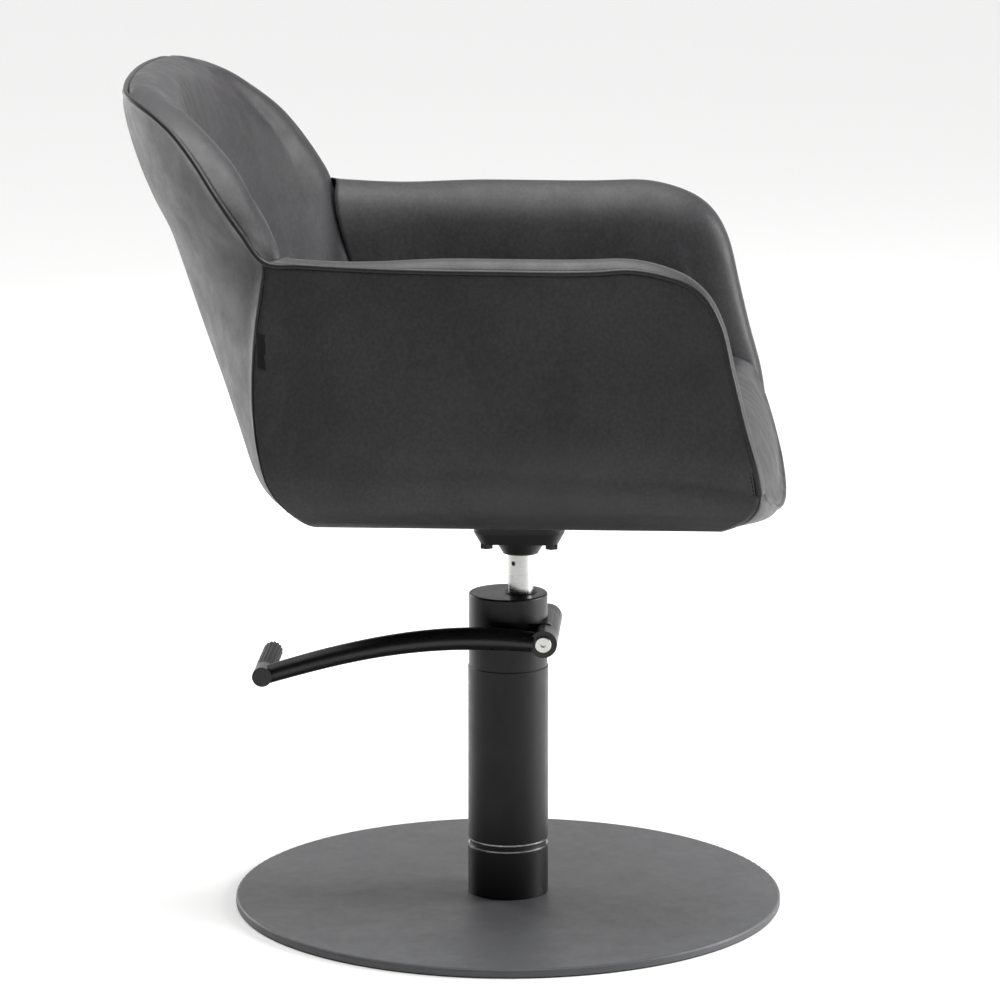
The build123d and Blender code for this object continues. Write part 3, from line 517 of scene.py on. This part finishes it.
# Upright seam where the outer arm meets the outer back, from the corner down.
REAR_SEAM = [
    (HALF - 0.5, 222, ARM_TOP + 5),
    (HALF, 225, 700),
    (HALF, 230, 670),
    (HALF, 234, 632),
    (HALF, 235, 580),
    (HALF - 0.5, 230, 535),
    (HALF - 3, 222, 506),
    (HALF - 11, 209, 485),
    (HALF - 26, 193, 468),
    (UNDER_X, 176, UNDER_Z),
]
# Middle of the outer back at the same levels, from the top down.
MIDDLE_UPPER = [
    (0, 386, 883), (0, 394, 873), (0, 397, 859), (0, 395, 842), (0, 389, 818), (0, 378, 786), (0, 364, 754),
]
MIDDLE_LOWER = [
    (0, 350, 727),
    (0, 340, 700),
    (0, 329, 670),
    (0, 315, 632),
    (0, 294, 580),
    (0, 277, 535),
    (0, 262, 505),
    (0, 254, 482),
    (0, 245, 468),
    (0, 212, UNDER_Z),
]


def cross_row(edge, middle, count, power=2.0):
    """A crescent row on the +X side, from its edge to the middle."""
    edge, middle = np.array(edge, float), np.array(middle, float)
    c = np.linspace(1, 0, count)[:, None]
    shape = c**power
    row = middle + (edge - middle) * shape
    row[:, 0] = edge[0] * c[:, 0]
    return row


def seam_dip(grid, depth, reach=9.0):
    """Moves a panel along its normals near the seams at its top and its two sides."""
    du = np.gradient(grid, axis=1)
    dv = np.gradient(grid, axis=0)
    normal = np.cross(du, dv)
    normal /= np.maximum(np.linalg.norm(normal, axis=2, keepdims=True), 1e-9)
    away = np.full(grid.shape[:2], np.inf)
    row_run = np.cumsum(np.linalg.norm(np.diff(grid, axis=0, prepend=grid[:1]), axis=2), axis=0)
    col_run = np.cumsum(np.linalg.norm(np.diff(grid, axis=1, prepend=grid[:, :1]), axis=2), axis=1)
    for run in (row_run, col_run, col_run[:, -1:] - col_run):
        away = np.minimum(away, run)
    fall = np.exp(-((away / reach) ** 2))
    return grid - normal * (depth * fall)[:, :, None]


def on_rim(grid):
    """The grid with its first row moved onto the top of the back's rim."""
    line = mirrored(even(BACK_RIM[7:], 60))
    x = grid[0, :, 0]
    grid[0, :, 1] = np.interp(x, line[:, 0], line[:, 1])
    grid[0, :, 2] = np.interp(x, line[:, 0], line[:, 2])
    return grid


# ---------------------------------------------------------------- outer back
side_edge = BACK_RIM[7:0:-1] + REAR_SEAM
middle_line = MIDDLE_UPPER + MIDDLE_LOWER
FULLER_BELOW = 510
rows = [
    mirrored(cross_row(edge, middle, 9, 2.6 if middle[2] < FULLER_BELOW else 2.0))
    for edge, middle in zip(side_edge, middle_line)
]
outer_back_grid = on_rim(relax(refine(rows, 110, 97), 6))

# ---------------------------------------------------------------- outer arm
# Front edge below the rim, curling in under the arm.
FRONT_FOOT = [
    (HALF - 10, -264, 500), (HALF - 12, -261, 488), (HALF - 21, -253, 475), (HALF - 35, -241, 465),
    (UNDER_X, -226, UNDER_Z),
]
corner = 5
arm_top_edge = even(ARM_RIM[corner:], 90)
arm_front_edge = np.concatenate(
    [
        even(ARM_RIM[: corner + 1][::-1], 40),
        even(FRONT_FOOT, 25)[1:],
    ]
)
rear_edge = np.concatenate([even(REAR_SEAM[:6], 40), even(REAR_SEAM[5:], 25)[1:]])
bottom_edge = even([(UNDER_X, -226, UNDER_Z), (UNDER_X, 0, UNDER_Z), (UNDER_X, 176, UNDER_Z)], 90)


def coons(top, bottom, first, last):
    """A surface between four edges: top and bottom run along it, first and last down it."""
    u = np.linspace(0, 1, len(top))[None, :, None]
    v = np.linspace(0, 1, len(first))[:, None, None]
    along = (1 - v) * top[None] + v * bottom[None]
    down = (1 - u) * first[:, None] + u * last[:, None]
    corners = (
        (1 - u) * (1 - v) * top[0] + u * (1 - v) * top[-1] + (1 - u) * v * bottom[0] + u * v * bottom[-1]
    )
    return along + down - corners


outer_arm_grid = coons(arm_top_edge, bottom_edge, arm_front_edge, rear_edge)
v_arm = np.linspace(0, 1, outer_arm_grid.shape[0])[:, None]
u_arm = np.linspace(0, 1, outer_arm_grid.shape[1])[None, :]
ARM_SWELL = 4.0
swell = np.sin(math.pi * np.clip(v_arm / 0.72, 0, 1)) * np.sin(math.pi * u_arm)
outer_arm_grid[:, :, 0] += ARM_SWELL * swell**0.7

# ---------------------------------------------------------------- inner arm
# Roll over the arm: distance in from the outer face, and distance in from the rim, where -1
# is the crown's height above the rim.
ROLL = [
    (0, 0), (3, -0.55), (9, -0.92), (17, -1.0), (26, -0.75), (34, -0.05), (41, 9), (47, 22), (51, 42),
]
INNER_SEAM = [
    (HALF - 0.5, 222, ARM_TOP + 5),
    (294, 213, ARM_TOP + 7.5),
    (285, 205, ARM_TOP + 8),
    (274, 203, ARM_TOP + 5),
    (264, 204, ARM_TOP - 4),
    (255, 202, 702),
    (249, 196, 680),
    (245, 187, 650),
    (242, 175, 605),
    (240, 158, 534),
]


def crown(y):
    """Height of the arm's rounded top above its rim, at y."""
    front = ease((y + 255) / 160)
    return 3.0 + 8.5 * front - 6.0 * ease((y - 30) / 130)


rim = even(ARM_RIM, 130)
tangent = np.gradient(rim, axis=0)
tangent[:, 0] = 0
tangent /= np.linalg.norm(tangent, axis=1)[:, None]
inward = np.stack([np.zeros(len(rim)), tangent[:, 2], -tangent[:, 1]], axis=1)
inward = -inward if inward[-1, 2] > 0 else inward
for _ in range(10):
    inward[1:-1] = (inward[:-2] + inward[1:-1] + inward[2:]) / 3
inward /= np.linalg.norm(inward, axis=1)[:, None]
columns = []
for point, way in zip(rim, inward):
    height = crown(point[1])
    column = []
    for n, s in ROLL:
        depth = s * height if s <= 0 else s
        column.append(point + way * depth + np.array([-n, 0, 0]))
    end = column[-1]
    foot_y = -212 + (end[1] + 212) * 0.86
    foot = np.array([HALF - 60, foot_y, min(534.0, end[2] - 6)])
    for share in (0.3, 0.62, 1.0):
        spot = end + (foot - end) * share
        spot[0] = HALF - 51 - 9 * (1 - (1 - share) ** 2)
        column.append(spot)
    columns.append(through(column, 60))
inner_arm_grid = np.array(columns).transpose(1, 0, 2)
seam_in = through(INNER_SEAM, 60)
pull = ease((np.linspace(0, 1, inner_arm_grid.shape[1]) - 0.72) / 0.28)[None, :, None]
inner_arm_grid += (seam_in[:, None] - inner_arm_grid[:, -1:]) * pull
inner_arm_grid = relax(inner_arm_grid, 8)

# ---------------------------------------------------------------- inner back
# Each row from the rim (or the seam with the arm) over the ridge to the middle of the back.
INNER_MIDDLE = [
    (0, 386, 883), (0, 376, 887.5), (0, 362, 888), (0, 349, 884), (0, 340, 874), (0, 336, 857),
    (0, 332, 839), (0, 327, 816), (0, 318, 787), (0, 306, 757),
]
back_side = [
    BACK_RIM[7], (171, 372, 876), (179, 367.5, 874.5), (190, 361, 872), (203, 350.5, 867), (219, 336, 858.5),
    (233, 322, 849), (256, 298, 824), (278, 273, 791), (290, 248, 758),
]
RIDGE = [
    (152, 369, 882), (150, 360, 883), (152, 351, 882), (162, 342, 879), (177, 331, 873), (198, 309, 863),
    (216, 285, 844), (240, 259, 820), (262, 237, 790), (275, 217, 757),
]
# Below the arm's corner: where the seam with the inner arm is, and the middle of the back.
CORNER_MIDDLE = (0, 294, 728)
SEAM_LEVELS = [
    ((264, 204, 712), (0, 288, 708)),
    ((254, 201, 690), (0, 279, 686)),
    ((246, 190, 657), (0, 268, 655)),
    ((242, 176, 607), (0, 251, 605)),
    ((240, 161, 545), (0, 235, 545)),
    ((240, 150, 500), (0, 222, 500)),
]
back_rows = []
for edge, ridge, middle in zip(back_side, RIDGE, INNER_MIDDLE):
    edge, ridge = np.array(edge, float), np.array(ridge, float)
    half_way = ridge + (edge - ridge) * np.array([0.72, 0.28, 0.45])
    inside = cross_row(ridge, middle, 8, 2.1)
    back_rows.append(np.concatenate([[edge, half_way], inside]))
back_rows.append(np.concatenate([INNER_SEAM[:2], cross_row(INNER_SEAM[2], CORNER_MIDDLE, 8, 2.1)]))
for seam_spot, middle in SEAM_LEVELS:
    seam_spot, middle = np.array(seam_spot, float), np.array(middle, float)
    row = []
    for x in np.concatenate([seam_spot[0] + np.array([16, 8]), np.linspace(seam_spot[0], 0, 8)]):
        share = (x / seam_spot[0]) ** 2.1
        y, z = middle[1:] + (seam_spot[1:] - middle[1:]) * share
        row.append((x, y, z))
    back_rows.append(np.array(row))
half_grid = refine(back_rows, 120, 70)
inner_back_grid = np.concatenate([half_grid * (-1, 1, 1), half_grid[:, ::-1][:, 1:]], axis=1)
inner_back_grid = on_rim(relax(inner_back_grid, 12))

# ---------------------------------------------------------------- seat
SEAT_EDGE = [
    (240, 178, 512), (239, 120, 527), (240, 0, 537), (242, -120, 543), (246, -200, 547), (249, -232, 545),
    (254, -250, 537), (261, -259, 524), (270, -263, 512), (278, -264, 505),
]
SEAT_MIDDLE = [
    (0, 252, 512), (0, 130, 538), (0, 0, 549), (0, -120, 558), (0, -203, 562), (0, -237, 559),
    (0, -261, 545), (0, -277, 515), (0, -288, 483), (0, -288, 450),
]
seat_rows = []
for k, (edge, middle) in enumerate(zip(SEAT_EDGE, SEAT_MIDDLE)):
    row = cross_row(edge, middle, 9, 2.6 if k < 6 else 2.2)
    seat_rows.append(mirrored(row))
seat_grid = relax(refine(seat_rows, 90, 81), 5)
SMILE = [
    (278, -264, 505), (266, -268, 496), (248, -272, 487), (200, -279, 471), (130, -285, 459),
    (60, -288, 452), (0, -289, 450),
]
smile = mirrored(even(SMILE, 41))
seat_grid[-1] = smile
seat_grid[-2] = 0.5 * (seat_grid[-1] + seat_grid[-3])

# Underside between the seat's front seam and the dust cover.
under_rear = [(UNDER_X, -226, UNDER_Z), (200, -228, UNDER_Z - 0.5), (0, -230, UNDER_Z - 0.5)]
under_rear = mirrored(even(under_rear, 41))
under_left = even([smile[0]] + [(-x, y, z) for x, y, z in FRONT_FOOT[1:]], 16)
under_front_grid = coons(smile, under_rear, under_left, under_left * (-1, 1, 1))

# ---------------------------------------------------------------- upholstery pieces
def both(grid):
    """A grid of the left side, and its mirror image for the right."""
    return {"left": grid, "right": grid * (-1, 1, 1)}


CLOTH_STEPS = 20


def inflate(piece, pressure, cap, hold):
    """Blows the cover up a little with a cloth simulation, its edges held, and applies it."""
    mesh = piece.data
    rest = np.empty(len(mesh.vertices) * 3, np.float32)
    mesh.vertices.foreach_get("co", rest)
    rest = rest.reshape(-1, 3)
    group = piece.vertex_groups.new(name="held")
    for index in hold:
        group.add([index], 1.0, "REPLACE")
    cloth = piece.modifiers.new("cloth", "CLOTH")
    piece.modifiers.move(len(piece.modifiers) - 1, 0)
    settings = cloth.settings
    settings.quality = 5
    settings.mass = 0.4
    settings.tension_stiffness = 20
    settings.compression_stiffness = 20
    settings.shear_stiffness = 8
    settings.bending_stiffness = 1.5
    settings.use_pressure = True
    settings.uniform_pressure_force = pressure
    settings.effector_weights.gravity = 0
    settings.vertex_group_mass = "held"
    cloth.point_cache.frame_start = 1
    cloth.point_cache.frame_end = CLOTH_STEPS
    shells = [m for m in piece.modifiers if m.type == "SOLIDIFY"]
    for m in shells:
        m.show_viewport = False
    for step in range(1, CLOTH_STEPS + 1):
        bpy.context.scene.frame_set(step)
    bpy.context.view_layer.update()
    done = piece.evaluated_get(bpy.context.evaluated_depsgraph_get())
    moved = np.empty(len(mesh.vertices) * 3, np.float32)
    done.to_mesh().vertices.foreach_get("co", moved)
    done.to_mesh_clear()
    shift = moved.reshape(-1, 3) - rest
    size = np.linalg.norm(shift, axis=1, keepdims=True)
    limit = cap / 1000
    shift *= limit * np.tanh(size / limit) / np.maximum(size, 1e-9)
    piece.modifiers.remove(cloth)
    piece.vertex_groups.remove(group)
    for m in shells:
        m.show_viewport = True
    mesh.vertices.foreach_set("co", (rest + shift).ravel())
    mesh.update()
    bpy.context.scene.frame_set(1)


def held_edges(rows, cols):
    """The vertices along a grid's four edges, in order."""
    return [
        r * cols + c for r in range(rows) for c in range(cols) if r in (0, rows - 1) or c in (0, cols - 1)
    ]


outer_back = panel("tub_outer_back", seam_dip(outer_back_grid, -1.6), LEATHER)
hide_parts("outer_back")

inner_back = panel("tub_inner_back", inner_back_grid, LEATHER, flip=True)
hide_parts("inner_back")

for side in ("left", "right"):
    left = side == "left"
    outer = panel(f"tub_outer_arm_{side}", both(outer_arm_grid)[side], LEATHER, flip=not left)
    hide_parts(f"outer_arm_{side}")
    inner = panel(f"tub_inner_arm_{side}", both(inner_arm_grid)[side], LEATHER, flip=left)
    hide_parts(f"inner_arm_{side}")

seat = panel("tub_seat_cushion", seat_grid, LEATHER)
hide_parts("seat_cushion")
panel("tub_seat_underside", under_front_grid, LEATHER)

inflate(seat, pressure=3.0, cap=7.0, hold=held_edges(*seat_grid.shape[:2]))
inflate(inner_back, pressure=2.0, cap=4.0, hold=held_edges(*inner_back_grid.shape[:2]))

# ---------------------------------------------------------------- welts, seams, painted groove shade and tag
whole_rim = np.concatenate([np.array(ARM_RIM)[:-1], np.array(BACK_RIM)])
rim_path = even(whole_rim, 360)
rim_path = np.concatenate([rim_path * (-1, 1, 1), rim_path[::-1][1:]])
welt = tube("tub_rim_welt", rim_path, WELT_RADIUS, WELT, sides=12)
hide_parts("rim_piping")
lip_path = mirrored(even(SMILE, 110))
lip = tube("tub_front_welt", lip_path, LIP_RADIUS, WELT, sides=12)
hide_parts("front_piping")

for side, sign in (("left", 1), ("right", -1)):
    arm_line = even(ARM_RIM, 240) * (sign, 1, 1)
    way = inward[np.linspace(0, len(inward) - 1, 240).astype(int)]
    # A near-black cord in the groove beside the welt: painted shade that stands for the dark of the groove,
    # not a real part.
    groove = arm_line + way * (WELT_RADIUS + 0.7) + np.array([sign * 0.4, 0, 0])
    tube(f"tub_arm_groove_shade_{side}", groove, SEAM_RADIUS, THREAD_AND_GROOVE_SHADE, sides=8)
    stitched = arm_line + way * (WELT_RADIUS + 3.2) + np.array([sign * 0.6, 0, 0])
    out = np.tile(np.array([sign, 0.0, 0.0]), (240, 1))
    stitches(f"tub_arm_stitches_{side}", stitched, out, 0.9)
    seam = even(REAR_SEAM, 160) * (sign, 1, 1)
    proud = seam + np.array([sign * 0.3, 0, 0])
    tube(f"tub_rear_seam_{side}", proud, SEAM_RADIUS, THREAD_AND_GROOVE_SHADE, sides=8)
    out = np.tile(np.array([sign * 1.0, 0.1, 0.0]), (160, 1))
    row = seam + np.array([sign * 0.5, -3.2, 0])
    stitches(f"tub_rear_stitches_{side}", row[:132], out[:132], 1.0)
    inner_line = through(INNER_SEAM, 120) * (sign, 1, 1)
    tube(f"tub_inner_seam_{side}", inner_line, SEAM_RADIUS, THREAD_AND_GROOVE_SHADE, sides=8)
    seat_line = even(SEAT_EDGE, 120) * (sign, 1, 1) + np.array([0, 0, 0.6])
    tube(f"tub_seat_seam_{side}", seat_line, 1.1, THREAD_AND_GROOVE_SHADE, sides=8)

tag_low, tag_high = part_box("seam_tag")
tag_y = (tag_low.y + tag_high.y) / 2 * 1000
tag_z = (tag_low.z + tag_high.z) / 2 * 1000
verts = []
TAG_ROWS, TAG_COLS = 19, 11
TAG_WIDE, TAG_TALL, TAG_DROP = 10.5, 36, 3.5
for r in range(TAG_ROWS):
    for c in range(TAG_COLS):
        f = c / (TAG_COLS - 1)
        y = tag_y + 6 - TAG_WIDE * f
        z = tag_z - TAG_TALL / 2 + TAG_TALL * r / (TAG_ROWS - 1) - TAG_DROP * f
        x = -HALF - 1.0 - 1.6 * math.sin(math.pi * f * 0.8) - 0.4 * math.sin(r * 0.7) * f
        verts.append((x, y, z))
tag = new_piece("tub_seam_tag", verts, grid_faces(TAG_ROWS, TAG_COLS), TAG)
fold = tag.modifiers.new("fold", "SOLIDIFY")
fold.thickness = 0.0009
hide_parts("seam_tag")

# ---------------------------------------------------------------- floor, light and camera
scene = bpy.context.scene
scene.view_settings.view_transform = "Standard"
bpy.ops.mesh.primitive_plane_add(size=40, location=(0, 0, -0.0002))
floor = bpy.context.object
floor.name = "floor"
m, tree, shader, where = material("pale_floor")
shader.inputs["Base Color"].default_value = (0.86, 0.86, 0.855, 1)
shader.inputs["Roughness"].default_value = 0.75
floor.data.materials.append(m)

world = bpy.data.worlds.new("studio")
scene.world = world
world.use_nodes = True
sky = world.node_tree
place = sky.nodes.new("ShaderNodeTexCoord")
split = sky.nodes.new("ShaderNodeSeparateXYZ")
sky.links.new(place.outputs["Generated"], split.inputs["Vector"])
shade = ramp(sky, spread(sky, split.outputs["X"], 0.0, 1.0, -1.0, 1.0), [
    (0.0, (0.02, 0.02, 0.02)), (0.58, (0.08, 0.08, 0.08)), (0.84, (0.26, 0.26, 0.26)),
    (0.95, (1.0, 1.0, 1.0)),
])
sky.links.new(shade, sky.nodes["Background"].inputs["Color"])
sky.nodes["Background"].inputs["Strength"].default_value = 1.0


def softbox(name, place, aim, wide, high, power):
    """A soft rectangular lamp, turned to what it aims at."""
    data = bpy.data.lights.new(name, "AREA")
    data.shape = "RECTANGLE"
    data.size, data.size_y = wide, high
    data.energy = power
    lamp = bpy.data.objects.new(name, data)
    lamp.location = place
    lamp.rotation_euler = (Vector(aim) - Vector(place)).to_track_quat("-Z", "Y").to_euler()
    scene.collection.objects.link(lamp)


softbox("key_above", (0.5, 0, 3.4), (0, 0, 0.4), 3.0, 3.0, 30)
softbox("rear_left", (2.3, 2.6, 1.2), (0, 0.2, 0.6), 1.4, 2.2, 60)
softbox("front_right", (0.5, -3.0, 1.2), (0, -0.2, 0.5), 1.6, 2.2, 150)
softbox("over_seat", (-0.22, -0.05, 1.75), (0.3, 0, 0.62), 0.8, 1.2, 26)
overhead_data = bpy.data.lights.new("overhead", "SUN")
overhead_data.energy = 2.7
overhead_data.angle = math.radians(80)
scene.collection.objects.link(bpy.data.objects.new("overhead", overhead_data))

CAMERA_FAR = 5.0
CAMERA_TURN = math.radians(3.0)
CAMERA_HEIGHT = 1.4627
AIM_TURN = math.radians(3.099)
PITCH = math.radians(11.628)
camera_data = bpy.data.cameras.new("camera")
camera_data.sensor_width = 36
camera_data.lens = 175.05
camera_data.clip_end = 60
camera = bpy.data.objects.new("camera", camera_data)
camera.location = (
    -CAMERA_FAR * math.cos(CAMERA_TURN),
    -CAMERA_FAR * math.sin(CAMERA_TURN),
    CAMERA_HEIGHT,
)
look = Vector((
    math.cos(AIM_TURN) * math.cos(PITCH),
    math.sin(AIM_TURN) * math.cos(PITCH),
    -math.sin(PITCH),
))
camera.rotation_euler = look.to_track_quat("-Z", "Y").to_euler()
scene.collection.objects.link(camera)
scene.camera = camera
